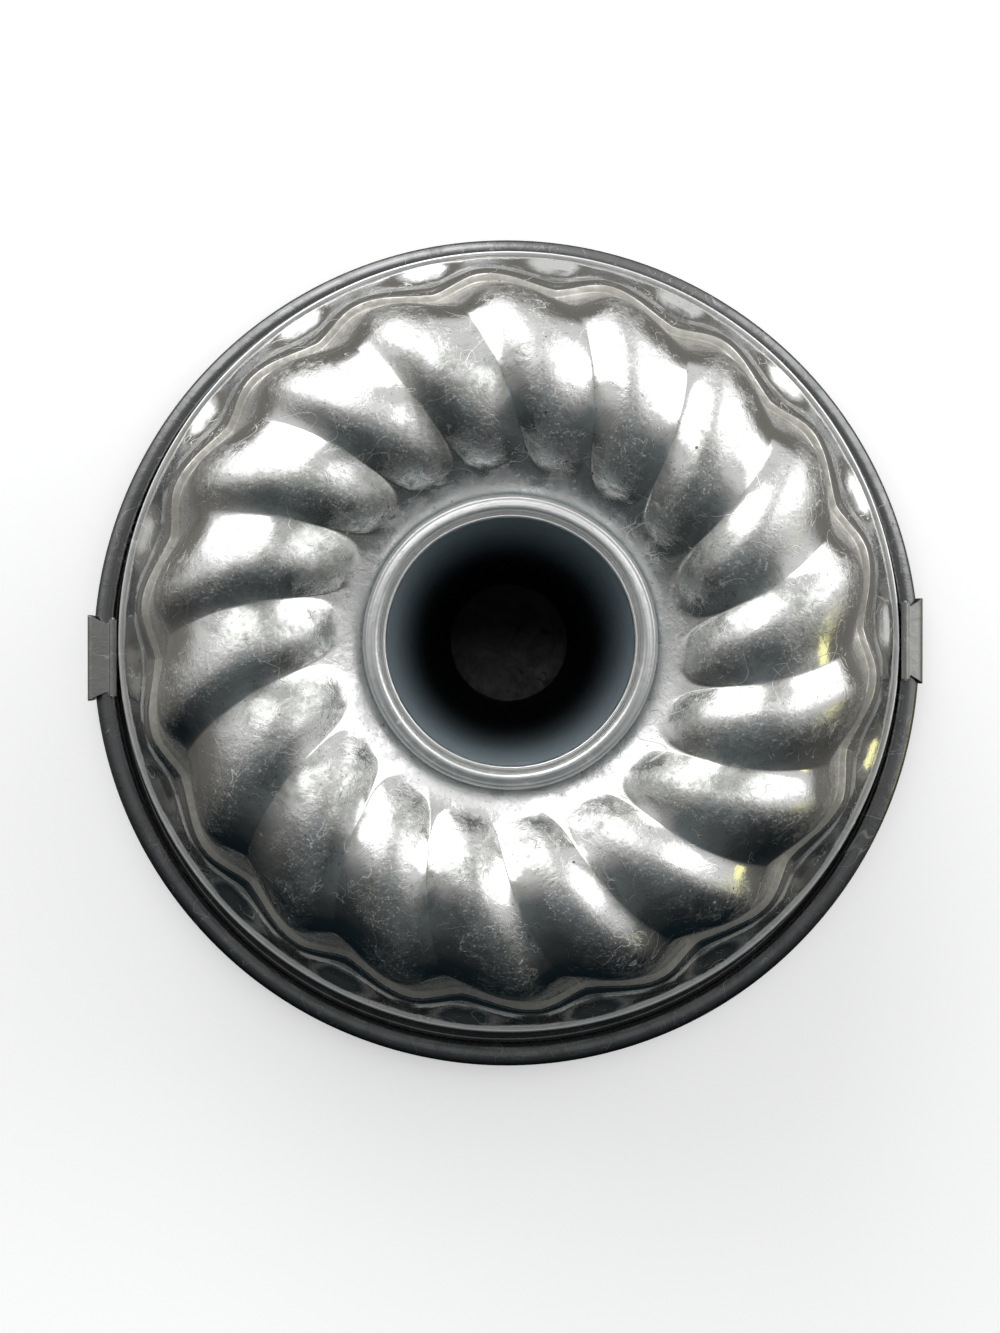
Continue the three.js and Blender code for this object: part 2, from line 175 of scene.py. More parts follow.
def grid_faces(n, m, wrap_n=True, wrap_m=False):
    """Quads of an n by m grid of points, point (i, j) being i * m + j."""
    i, j = np.meshgrid(np.arange(n if wrap_n else n - 1), np.arange(m if wrap_m else m - 1), indexing="ij")
    i, j = i.ravel(), j.ravel()
    i2, j2 = (i + 1) % n, (j + 1) % m
    return np.stack([i * m + j, i2 * m + j, i2 * m + j2, i * m + j2], 1)


def turned(profile, segments, centre=(0, 0, 0), wobble=None):
    """A closed ring from a profile of (radius, height), or a capped body if it starts and ends on the axis."""
    p = np.asarray(profile, float)
    ends = p[0, 0] < 1e-6 and p[-1, 0] < 1e-6
    a = np.linspace(0, 2 * math.pi, segments, endpoint=False)
    body = p[1:-1] if ends else p
    r = body[None, :, 0] + 0 * a[:, None]
    z = body[None, :, 1] + 0 * a[:, None]
    if wobble is not None:
        dr, dz = wobble(a[:, None], body[None, :, 0], body[None, :, 1])
        r, z = r + dr, z + dz
    v = np.stack([r * np.cos(a)[:, None], r * np.sin(a)[:, None], z], 2).reshape(-1, 3)
    m = len(body)
    faces = [tuple(f) for f in grid_faces(segments, m, True, not ends)]
    if ends:
        v = np.vstack([v, [[0, 0, p[0, 1]], [0, 0, p[-1, 1]]]])
        low, high = len(v) - 2, len(v) - 1
        for i in range(segments):
            k = (i + 1) % segments
            faces.append((i * m, k * m, low))
            faces.append((i * m + m - 1, k * m + m - 1, high))
    return v + np.asarray(centre, float), faces


def swept(path, radius, sides, round_ends=True):
    """A round wire along a path of points, with softly rounded ends."""
    p = np.asarray(path, float)
    t = np.gradient(p, axis=0)
    t /= np.linalg.norm(t, axis=1)[:, None]
    up = np.array([0.0, 0.0, 1.0])
    rings, radii, places, dirs = [], [], [], []
    if round_ends:
        for s in (0.0, 0.3, 0.6, 0.85):
            places.append(p[0] - t[0] * radius * 0.5 * (1 - s)), dirs.append(t[0]), radii.append(radius * (0.25 + 0.75 * math.sin(s * math.pi / 2)))
    for k in range(len(p)):
        places.append(p[k]), dirs.append(t[k]), radii.append(radius)
    if round_ends:
        for s in (0.85, 0.6, 0.3, 0.0):
            places.append(p[-1] + t[-1] * radius * 0.5 * (1 - s)), dirs.append(t[-1]), radii.append(radius * (0.25 + 0.75 * math.sin(s * math.pi / 2)))
    b = np.linspace(0, 2 * math.pi, sides, endpoint=False)
    for c, d, r in zip(places, dirs, radii):
        ref = up if abs(d @ up) < 0.95 else np.array([1.0, 0.0, 0.0])
        x = np.cross(ref, d)
        x /= np.linalg.norm(x)
        y = np.cross(d, x)
        rings.append(c + r * (np.cos(b)[:, None] * x + np.sin(b)[:, None] * y))
    v = np.vstack(rings)
    n = len(rings)
    faces = [tuple(f) for f in grid_faces(n, sides, False, True)]
    faces.append(tuple(range(sides)))
    faces.append(tuple((n - 1) * sides + k for k in range(sides)))
    return v, faces


# ---------------------------------------------------------------- materials
class Tree:
    """Short ways to add shader nodes to a tree."""

    def __init__(self, tree):
        self.t = tree
        self.t.nodes.clear()

    def link(self, a, b):
        self.t.links.new(a, b)

    def put(self, socket, value):
        if hasattr(value, "is_output"):
            self.link(value, socket)
        else:
            socket.default_value = value

    def split(self, vector):
        n = self.t.nodes.new("ShaderNodeSeparateXYZ")
        self.link(vector, n.inputs[0])
        return n.outputs[0], n.outputs[1], n.outputs[2]

    def grooves(self, centre, scale, detail=2):
        """Fine lines around a centre in plan, as from spinning or rubbing."""
        x, y, _ = self.split(self.mapped(location=(-centre[0] * MM, -centre[1] * MM, 0)))
        r = self.math("SQRT", self.math("ADD", self.math("MULTIPLY", x, x), self.math("MULTIPLY", y, y)))
        r = self.math("ADD", r, self.math("MULTIPLY", self.noise(40, 2, 0.5), 0.0006))
        n = self.t.nodes.new("ShaderNodeTexNoise")
        n.noise_dimensions = "1D"
        n.inputs["Scale"].default_value = scale
        n.inputs["Detail"].default_value = detail
        self.link(r, n.inputs["W"])
        return n.outputs[0], r

    def mapped(self, scale=(1, 1, 1), rotation=(0, 0, 0), location=(0, 0, 0)):
        m = self.t.nodes.new("ShaderNodeMapping")
        m.inputs["Scale"].default_value = scale
        m.inputs["Rotation"].default_value = rotation
        m.inputs["Location"].default_value = location
        self.link(self.coord, m.inputs["Vector"])
        return m.outputs[0]

    def noise(self, scale, detail=4, rough=0.5, distortion=0.0, vector=None):
        n = self.t.nodes.new("ShaderNodeTexNoise")
        n.inputs["Scale"].default_value = scale
        n.inputs["Detail"].default_value = detail
        n.inputs["Roughness"].default_value = rough
        n.inputs["Distortion"].default_value = distortion
        self.link(vector or self.coord, n.inputs["Vector"])
        return n.outputs["Fac"] if "Fac" in n.outputs else n.outputs[0]

    def voronoi(self, scale, vector=None, feature="F1", randomness=1.0):
        n = self.t.nodes.new("ShaderNodeTexVoronoi")
        n.feature = feature
        n.inputs["Scale"].default_value = scale
        n.inputs["Randomness"].default_value = randomness
        self.link(vector or self.coord, n.inputs["Vector"])
        return n.outputs["Distance"], n.outputs["Color"] if "Color" in n.outputs else None

    def math(self, op, a, b=0.0, clamp=False):
        n = self.t.nodes.new("ShaderNodeMath")
        n.operation = op
        n.use_clamp = clamp
        self.put(n.inputs[0], a)
        self.put(n.inputs[1], b)
        return n.outputs[0]

    def fit(self, value, a, b, c=0.0, d=1.0, smooth=True):
        n = self.t.nodes.new("ShaderNodeMapRange")
        n.interpolation_type = "SMOOTHSTEP" if smooth else "LINEAR"
        self.put(n.inputs["Value"], value)
        for key, x in zip(("From Min", "From Max", "To Min", "To Max"), (a, b, c, d)):
            n.inputs[key].default_value = x
        return n.outputs["Result"]

    def mix(self, fac, a, b):
        n = self.t.nodes.new("ShaderNodeMix")
        n.data_type = "RGBA"
        self.put(n.inputs[0], fac)
        self.put(n.inputs[6], a)
        self.put(n.inputs[7], b)
        return n.outputs[2]

    def attribute(self, name):
        n = self.t.nodes.new("ShaderNodeAttribute")
        n.attribute_name = name
        return n.outputs["Fac"]

    def hairlines(self, scale, width, keep, seed, stretch=(1, 1, 1)):
        """Fine curly scratches: level lines of a noise, broken up by a second one."""
        v = self.mapped(scale=stretch, location=(seed * 0.37, seed * 0.21, seed * 0.13))
        n = self.noise(scale, 1.5, 0.5, 0.6, v)
        line = self.fit(self.math("ABSOLUTE", self.math("SUBTRACT", n, 0.5)), 0.0, width, 1.0, 0.0)
        gate = self.noise(scale * 0.55, 2, 0.5, 0.0, self.mapped(location=(seed * 1.7, seed, 0)))
        return self.math("MULTIPLY", line, self.fit(gate, keep, keep + 0.06))

    def bump(self, height, strength, distance, normal=None):
        n = self.t.nodes.new("ShaderNodeBump")
        n.inputs["Strength"].default_value = strength
        n.inputs["Distance"].default_value = distance
        self.link(height, n.inputs["Height"])
        if normal is not None:
            self.link(normal, n.inputs["Normal"])
        return n.outputs[0]


class Nodes(Tree):
    def __init__(self, name):
        self.mat = bpy.data.materials.new(name)
        self.mat.use_nodes = True
        super().__init__(self.mat.node_tree)
        self.out = self.t.nodes.new("ShaderNodeOutputMaterial")
        self.bsdf = self.t.nodes.new("ShaderNodeBsdfPrincipled")
        self.link(self.bsdf.outputs[0], self.out.inputs[0])
        self.coord = self.t.nodes.new("ShaderNodeTexCoord").outputs["Object"]


def tinplate(name, bright, dull, rough, haze=0.2, grain=1.0, scratch=1.0, spots=1.0, kind="plain"):
    """Worn tinplate: hazy rubbed patches, fine grain, curly scratches and pits, with painted shade darkening the
    creases.
    """
    g = Nodes(name)
    fine = g.fit(g.noise(760, 5, 0.65), 0.34, 0.66)
    cloud = g.noise(170, 6, 0.68, 0.5)
    if kind == "shell":
        worn = g.attribute("worn")
        patch = g.fit(g.math("ADD", g.math("MULTIPLY", worn, 0.32), cloud), 0.60, 0.84)
        # the collar and the wall's foot are cleaner than the dome
        x, y, z = g.split(g.coord)
        patch = g.math("MULTIPLY", patch, g.fit(z, 0.028, 0.050, 0.30, 1.0))
    else:
        patch = g.fit(cloud, 0.42, 0.66)
    mottled = g.math("MULTIPLY", patch, g.fit(fine, 0.0, 1.0, 0.45, 1.0, False))
    colour = g.mix(mottled, (*bright, 1), (*dull, 1))
    lines = g.math("MAXIMUM", g.hairlines(190, 0.008, 0.54, 3.1), g.hairlines(380, 0.011, 0.58, 8.7))
    lines = g.math("MAXIMUM", lines, g.hairlines(90, 0.0045, 0.53, 15.3))
    lines = g.math("MULTIPLY", lines, scratch, True)
    d, _ = g.voronoi(330)
    pick = g.fit(g.noise(120, 2, 0.5, 0, g.mapped(location=(4, 2, 7))), 0.58, 0.66)
    pits = g.math("MULTIPLY", g.math("MULTIPLY", g.fit(d, 0.05, 0.13, 1.0, 0.0), pick), spots, True)
    d2, _ = g.voronoi(110, g.mapped(location=(1.3, 0.4, 2.2)))
    blot = g.math("MULTIPLY", g.fit(d2, 0.04, 0.20, 1.0, 0.0), g.fit(g.noise(60, 3, 0.6, 0, g.mapped(location=(9, 1, 3))), 0.52, 0.64))
    blot = g.math("MULTIPLY", blot, spots * 0.6, True)
    colour = g.mix(pits, colour, (0.13, 0.125, 0.115, 1))
    colour = g.mix(blot, colour, (dull[0] * 0.70, dull[1] * 0.68, dull[2] * 0.63, 1))
    colour = g.mix(g.math("MULTIPLY", lines, 0.5), colour, (0.95, 0.95, 0.93, 1))
    r = g.math("ADD", g.fit(mottled, 0.0, 1.0, rough, rough + haze, False), g.math("MULTIPLY", lines, 0.4))
    r = g.math("ADD", r, g.math("MULTIPLY", g.math("ADD", pits, blot), 0.22))
    ring = None
    metal = None
    if kind == "shell":
        # painted shade: the creases between the flutes are darkened to near black in patches, and roughened
        c = g.attribute("crease")
        crease_shade = g.math("MULTIPLY", g.fit(c, 0.90, 1.0), g.fit(g.noise(130, 4, 0.6), 0.40, 0.66))
        colour = g.mix(g.math("MULTIPLY", crease_shade, 0.7), colour, (0.09, 0.088, 0.08, 1))
        r = g.math("ADD", r, g.math("MULTIPLY", crease_shade, 0.2))
        # brownish tarnish on the inner halves of the flutes, most of it around the tips
        dx, dy = g.math("SUBTRACT", x, MOULD[0] * 0.001), g.math("SUBTRACT", y, MOULD[1] * 0.001)
        radius = g.math("SQRT", g.math("ADD", g.math("MULTIPLY", dx, dx), g.math("MULTIPLY", dy, dy)))
        inner = g.fit(radius, 0.034, 0.062, 1.0, 0.0)
        tarnish = g.fit(g.math("ADD", g.noise(62, 6, 0.7, 0.8, g.mapped(location=(3, 8, 5))), g.math("MULTIPLY", inner, 0.13)), 0.55, 0.70)
        tarnish = g.math("MULTIPLY", tarnish, g.fit(fine, 0.0, 1.0, 0.55, 0.95, False))
        well = g.fit(radius, 0.0275, 0.0315, 1.0, 0.0)
        tarnish = g.math("MULTIPLY", tarnish, g.fit(radius, 0.0285, 0.0335))
        colour = g.mix(g.math("MULTIPLY", well, 0.8), colour, (0.88, 0.88, 0.87, 1))
        r = g.math("ADD", r, g.math("MULTIPLY", well, 0.14))
        colour = g.mix(g.math("MULTIPLY", tarnish, 0.8), colour, (0.36, 0.37, 0.335, 1))
        r = g.math("ADD", r, g.math("MULTIPLY", tarnish, 0.10))
        # flecks where the tin is rubbed through, and dark specks
        fleck = g.math("MULTIPLY", g.fit(g.noise(2200, 2, 0.5), 0.57, 0.68), g.fit(patch, 0.0, 0.8, 0.35, 1.0))
        colour = g.mix(g.math("MULTIPLY", fleck, 0.6), colour, (0.96, 0.96, 0.94, 1))
        r = g.math("ADD", r, g.math("MULTIPLY", fleck, 0.28))
        speck = g.fit(g.noise(1500, 3, 0.6, 0, g.mapped(location=(6, 3, 1))), 0.63, 0.72)
        colour = g.mix(g.math("MULTIPLY", speck, 0.75), colour, (0.20, 0.20, 0.185, 1))
        # painted highlight: the hemmed edge is painted lighter, and roughened
        hem = g.attribute("hem")
        colour = g.mix(g.math("MULTIPLY", hem, 0.9), colour, (0.98, 0.98, 0.965, 1))
        r = g.math("ADD", r, g.math("MULTIPLY", hem, 0.24))
        # a dull scale lies along the ledge at the foot of the flutes
        ragged = g.math("ADD", g.attribute("foot"), g.fit(g.noise(240, 4, 0.65), 0.3, 0.7, -0.16, 0.12, False))
        scale = g.math("MULTIPLY", g.fit(ragged, 0.16, 0.42), g.fit(g.noise(620, 3, 0.6), 0.30, 0.62, 0.72, 1.0))
        colour = g.mix(scale, colour, (0.40, 0.378, 0.335, 1))
        metal = g.fit(scale, 0.0, 1.0, 1.0, 0.40, False)
        r = g.math("ADD", r, g.math("MULTIPLY", scale, 0.35))
    if kind == "tube":
        # blue-grey and dull in the bore, with painted shade darkening it to near black towards the bottom; rubbed
        # bright on the seam
        _, _, z = g.split(g.coord)
        bore_shade = g.mix(g.fit(z, 0.036, 0.084), (0.010, 0.015, 0.019, 1), (0.39, 0.47, 0.51, 1))
        bore_shade = g.mix(g.math("MULTIPLY", mottled, 0.4), bore_shade, g.mix(g.fit(z, 0.036, 0.084), (0.007, 0.011, 0.014, 1), (0.26, 0.33, 0.37, 1)))
        seam = g.fit(z, 0.0844, 0.0851)
        ring, _ = g.grooves(MOULD, 2600)
        shiny = g.mix(g.fit(ring, 0.35, 0.65), (0.80, 0.80, 0.79, 1), (0.97, 0.97, 0.96, 1))
        colour = g.mix(seam, bore_shade, g.mix(pits, shiny, (0.2, 0.2, 0.19, 1)))
        metal = g.fit(seam, 0.0, 1.0, 0.45, 1.0, False)
        r = g.math("ADD", r, g.fit(seam, 0.0, 1.0, 0.26, 0.16, False))
    if kind == "lid":
        # the inside is dulled and stained by steam, with a painted shadow on one side of the middle; the rolled rim is
        # brighter
        ring, rr = g.grooves((0, 0), 1500)
        within = g.fit(rr, 0.0775, 0.0795, 1.0, 0.0)
        inside = g.math("MULTIPLY", within, g.attribute("inside"))
        colour = g.mix(g.math("MULTIPLY", within, 0.7), colour, (0.52, 0.52, 0.515, 1))
        stain_and_shadow = g.mix(g.fit(g.noise(110, 6, 0.68, 0.4), 0.36, 0.66), (0.085, 0.082, 0.082, 1), (0.185, 0.176, 0.180, 1))
        stain_and_shadow = g.mix(g.math("MULTIPLY", g.math("MAXIMUM", pits, blot), 0.7), stain_and_shadow, (0.03, 0.028, 0.026, 1))
        stain_and_shadow = g.mix(g.math("MULTIPLY", lines, 0.5), stain_and_shadow, (0.34, 0.34, 0.335, 1))
        # painted shadow: the middle of the panel, seen down the bore, is darker on its +y side
        _, y, _ = g.split(g.coord)
        stain_and_shadow = g.mix(g.math("MULTIPLY", g.fit(y, -0.010, 0.007), g.fit(rr, 0.016, 0.030, 1.0, 0.0)), stain_and_shadow, (0.016, 0.015, 0.017, 1))
        colour = g.mix(inside, colour, stain_and_shadow)
        r = g.math("ADD", r, g.math("MULTIPLY", inside, 0.2))
    g.link(colour, g.bsdf.inputs["Base Color"])
    g.link(r, g.bsdf.inputs["Roughness"])
    if metal is None:
        g.bsdf.inputs["Metallic"].default_value = 1.0
    else:
        g.link(metal, g.bsdf.inputs["Metallic"])
    n = g.bump(g.noise(250, 3, 0.5), 1.0, 0.00007 * grain)
    tiny = g.math("MULTIPLY", g.noise(1150, 3, 0.6), g.fit(patch, 0.0, 1.0, 0.15, 1.0, False))
    n = g.bump(tiny, 1.0, 0.00006 * grain, n)
    if ring is not None:
        n = g.bump(ring, 0.6, 0.00002, n)
    n = g.bump(g.math("ADD", lines, g.math("MULTIPLY", pits, 1.5)), 0.4, -0.00003, n)
    g.link(n, g.bsdf.inputs["Normal"])
    return g.mat


SHELL_TIN = tinplate("shell_tin", (0.80, 0.795, 0.78), (0.72, 0.715, 0.70), 0.125, haze=0.32, grain=1.3, scratch=1.3, spots=1.4, kind="shell")
TUBE_TIN = tinplate("tube_tin", (0.62, 0.65, 0.68), (0.44, 0.475, 0.51), 0.22, haze=0.14, scratch=0.9, spots=0.5, kind="tube")
LID_TIN = tinplate("lid_tin", (0.25, 0.25, 0.252), (0.18, 0.18, 0.18), 0.20, haze=0.16, scratch=0.6, spots=0.8, kind="lid")
CLIP_TIN = tinplate("clip_tin", (0.43, 0.426, 0.412), (0.33, 0.326, 0.314), 0.34, haze=0.14, grain=1.3, scratch=0.6, spots=0.7)
WIRE_TIN = tinplate("wire_tin", (0.56, 0.56, 0.56), (0.40, 0.40, 0.40), 0.28, haze=0.16, scratch=0.8, spots=0.7)
RIVET_TIN = tinplate("rivet_tin", (0.62, 0.62, 0.61), (0.46, 0.46, 0.45), 0.30, haze=0.14, scratch=0.7, spots=0.5)


# ---------------------------------------------------------------- fluted shell
def lobe(u, crest, width, finger):
    v = np.where(u < crest, (crest - u) / crest, (u - crest) / (1 - crest)) / np.clip(width, 0.2, 1.0)
    v = np.minimum(v, 1.0)
    q = 1 - v * v
    wave = 0.75 * np.cos(math.pi * v / 2) ** 2 + 0.25 * q
    f = np.clip(finger, 0, 1)
    return (1 - f) * wave + f * q ** 0.75


def fluted_shell():
    mid = np.stack([(STATIONS[:, 0] + STATIONS[:, 2]) / 2, (STATIONS[:, 1] + STATIONS[:, 3]) / 2], 1)
    t = np.concatenate([[0], np.cumsum(np.linalg.norm(np.diff(mid, axis=0), axis=1) ** 0.8)])
    steps = [3, 3, 4, 4, 4, 4, 3, 4, 4, 4, 4, 4, 4, 6, 7, 6, 8, 9, 9, 9, 9, 7, 7, 6, 5, 5, 4, 3, 2, 2]
    at = [np.linspace(t[k], t[k + 1], n, endpoint=False) for k, n in enumerate(steps)]
    at = np.concatenate(at + [[t[-1]]])
    # rows along the section, from the rim inwards: the collar with its ledge, then the flutes
    s = np.where((at < t[13])[:, None], shape_keeping(t, STATIONS, at), spline(t[12:], STATIONS[12:], np.maximum(at, t[12])))
    m = len(s)
    row = np.interp(at, t, np.arange(len(t)))

    per = 26
    base = (np.arange(per)) / per
    u = base - 0.66 * np.sin(2 * math.pi * base) / (2 * math.pi)
    k = np.repeat(np.arange(LOBES), per)
    u = np.tile(u, LOBES)
    # the flutes of a pressed tin are never quite alike
    shift = RNG.uniform(-0.22, 0.22, LOBES + 1)
    shift[-1] = shift[0]
    gain = 1 + RNG.uniform(-0.03, 0.03, LOBES)
    start = 20.0 * k + shift[k]
    stop = 20.0 * (k + 1) + shift[k + 1]
    angle = CREASE_ANGLE + start + (stop - start) * u
    n = len(angle)

    w = lobe(u[:, None], s[None, :, 5], s[None, :, 6], s[None, :, 7])
    gain_here = 1 + (gain[k][:, None] - 1) * np.clip((s[None, :, 1] - 22) / 8, 0, 1)
    w = w * gain_here
    r = s[None, :, 2] + (s[None, :, 0] - s[None, :, 2]) * w
    z = s[None, :, 3] + (s[None, :, 1] - s[None, :, 3]) * w
    a = np.radians(angle[:, None] - s[None, :, 4])
    p = np.stack([r * np.cos(a), r * np.sin(a), z], 2)

    def normals(q):
        da = np.roll(q, -1, 0) - np.roll(q, 1, 0)
        dt = np.gradient(q, axis=1)
        v = np.cross(da, dt)
        return v / np.linalg.norm(v, axis=2)[:, :, None]

    nn = normals(p)
    # slight waviness of the sheet
    wave = np.zeros(p.shape[:2])
    for _ in range(14):
        d = RNG.normal(size=3)
        d /= np.linalg.norm(d)
        wave += np.sin(p @ d * (2 * math.pi / RNG.uniform(9, 26)) + RNG.uniform(0, 6.28))
    dome = np.clip((z - 2.0) / 10.0, 0, 1) * np.clip((r - 27.0) / 3.0, 0, 1)
    # a few shallow dents from use
    dent = np.zeros(p.shape[:2])
    for _ in range(22):
        where = p[RNG.randint(n), RNG.randint(int(m * 0.38), int(m * 0.8))]
        size = RNG.uniform(2.2, 5.0)
        dent += RNG.uniform(0.05, 0.16) * np.exp(-np.sum((p - where) ** 2, 2) / size ** 2)
    p = p + nn * ((wave * 0.016 - dent) * dome)[:, :, None]
    nn = normals(p)

    inside = [int(np.argmin(np.abs(row - j))) for j in (0, 2, 4, 5, 8, 9, 11, 13)]
    inside = sorted(set(inside + list(range(inside[-1] + 3, m, 3)) + [m - 1]))
    q = (p - nn * SHEET)[:, inside]
    hem = np.vstack([[[79.24, 0.10], [79.30, 0.23], [79.40, 0.305], [79.54, 0.335], [79.69, 0.33], [79.82, 0.28], [79.92, 0.17], [79.98, 0.02],
                      [79.985, -0.18]], arc(79.52, -0.36, 0.46, -10, -88, 5)])
    a0 = a[:, 0]
    h = np.stack([hem[None, :, 0] * np.cos(a0)[:, None], hem[None, :, 0] * np.sin(a0)[:, None], hem[None, :, 1] + 0 * a0[:, None]], 2)
    loop = np.concatenate([p[:, ::-1], h, q], 1)
    # where the painted shade in the creases goes
    crease_out = 1 - lobe(u[:, None], s[None, :, 5], s[None, :, 6], s[None, :, 7]) ** 0.8
    strong = np.clip((s[None, :, 0] - s[None, :, 2]) ** 2 + (s[None, :, 1] - s[None, :, 3]) ** 2, 0, 9) / 9
    crease_out = crease_out * strong
    c = np.concatenate([crease_out[:, ::-1], np.zeros((n, len(hem))), np.zeros((n, len(inside)))], 1)
    worn_out = np.clip(w, 0, 1) * np.clip((z - 20) / 40, 0, 1) * np.clip((r - 29) / 5, 0, 1)
    worn_out = np.maximum(worn_out, 0.75 * np.clip((31.5 - r) / 2.5, 0, 1))
    worn = np.concatenate([worn_out[:, ::-1], np.zeros((n, len(hem))), np.zeros((n, len(inside)))], 1)
    # the ledge at the foot of the flutes, counted along the section
    foot_out = np.tile(np.clip(1 - np.abs(row - 10.15) / 1.4, 0, 1), (n, 1))
    foot = np.concatenate([foot_out[:, ::-1], np.zeros((n, len(hem))), np.zeros((n, len(inside)))], 1)
    # the hemmed edge, where the painted highlight goes
    hem_highlight_out = np.tile(np.clip(1 - row / 0.15, 0, 1), (n, 1))
    hem_highlight = np.concatenate([hem_highlight_out[:, ::-1], np.ones((n, len(hem))), np.zeros((n, len(inside)))], 1)
    v = loop.reshape(-1, 3) + MOULD
    marks = {"crease": c.ravel(), "worn": worn.ravel(), "foot": foot.ravel(), "hem": hem_highlight.ravel()}
    return v, grid_faces(n, loop.shape[1], True, True), marks


v, f, marks = fluted_shell()
mesh_object("shell_body", v, f, "mould", "fluted_shell", SHELL_TIN, marks)

# ---------------------------------------------------------------- centre tube
bead = round_corners([
    [21.5, 76.4], [21.5, 77.6], [21.62, 78.2], [21.9, 78.4], [22.15, 78.2], [22.28, 77.5], [22.42, 77.3], [22.56, 77.6], [22.75, 78.5], [23.1, 79.0], [23.6, 79.15],
    [24.2, 79.0], [24.6, 78.85], [24.95, 78.85], [25.25, 78.65], [25.55, 78.1], [25.7, 77.4], [25.68, 76.8], [25.5, 76.35], [25.2, 76.15]], 2)
tube_outer = [[22.5, 76.1], [22.35, 74.5], [17.5, 38.0], [12.7, 1.8]]
tube_inner = [[11.9, 1.8], [16.65, 38.0], [21.3, 73.4], [21.45, 75.4]]


def dense(points, step):
    out = []
    p = np.asarray(points, float)
    for a, b in zip(p[:-1], p[1:]):
        n = max(1, int(np.linalg.norm(b - a) / step))
        out += [a + (b - a) * i / n for i in range(n)]
    return np.array(out + [p[-1]])


lip = [[11.9, 1.8], [12.0, 1.62], [12.3, 1.55], [12.6, 1.62], [12.7, 1.8]]
tube_profile = np.vstack([
    dense(tube_inner, 3.0),
    bead,
    [[25.1, 76.1], [23.6, 76.1]],
    dense(tube_outer, 3.0),
    lip[::-1][1:-1],
])


def tube_wobble(a, r, z):
    return 0.05 * np.sin(3 * a + 0.4) + 0.03 * np.sin(7 * a + z * 0.05), 0.02 * np.sin(5 * a + 1.0)


v, f = turned(tube_profile, 160, MOULD, tube_wobble)
mesh_object("tube_body", v, f, "mould", "centre_tube", TUBE_TIN)

# ---------------------------------------------------------------- lid
top = PANEL_Z + SHEET
upper = round_corners([
    [0.5, top], [30, top], [49.6, top], [50.9, top - 0.1], [52.2, top - 1.0], [53.6, 1.7], [54.6, 0.85], [55.8, SHEET],
    [65.4, SHEET], [66.6, 0.85], [67.6, 1.6], [69.4, 5.4], [70.2, 6.6], [71.4, SEAT_Z], [74.0, SEAT_Z],
    [77.3, SEAT_Z], [78.2, 6.4], [78.7, 4.8], [79.1, 4.0], [79.6, 3.6]], 2)
roll_out = arc(BEAD_R, BEAD_Z, BEAD_TUBE, 190, -120, 40)
roll_in = arc(BEAD_R, BEAD_Z, BEAD_TUBE - SHEET, -120, 200, 36)
lower = round_corners([
    [79.9, 2.8], [79.2, 2.7], [78.5, 3.3], [78.0, 4.3], [77.6, 5.6], [76.9, SEAT_Z - SHEET], [74.0, SEAT_Z - SHEET], [71.8, SEAT_Z - SHEET],
    [70.8, 5.8], [70.0, 4.6], [68.2, 0.75], [67.2, 0.08], [66.2, 0.0], [54.8, 0.0], [53.9, 0.1], [52.9, 1.1], [51.5, PANEL_Z - 0.8],
    [50.4, PANEL_Z - 0.1], [49.4, PANEL_Z], [30, PANEL_Z], [0.5, PANEL_Z]], 2)
lid_profile = np.vstack([[[0.0, top]], upper, roll_out, roll_in, lower, [[0.0, PANEL_Z]]])


def lid_wobble(a, r, z):
    rim = np.clip((r - 78) / 3, 0, 1)
    return rim * (0.02 * np.sin(4 * a + 0.6) + 0.012 * np.sin(11 * a)), rim * 0.012 * np.sin(6 * a + 2.0)


v, f = turned(lid_profile, 300, (0, 0, 0), lid_wobble)
side_up = np.zeros(len(lid_profile) - 2)
side_up[:len(upper)] = 1
mesh_object("lid_body", v, f, "lid", "lid_pan", LID_TIN, {"inside": np.concatenate([np.tile(side_up, 300), [1.0, 0.0]])})

wire = arc(BEAD_R, BEAD_Z, 1.45, 0, 360, 20)[:-1]
v, f = turned(wire, 200)
mesh_object("rim_wire", v, f, "lid", "lid_rim_wire", WIRE_TIN)


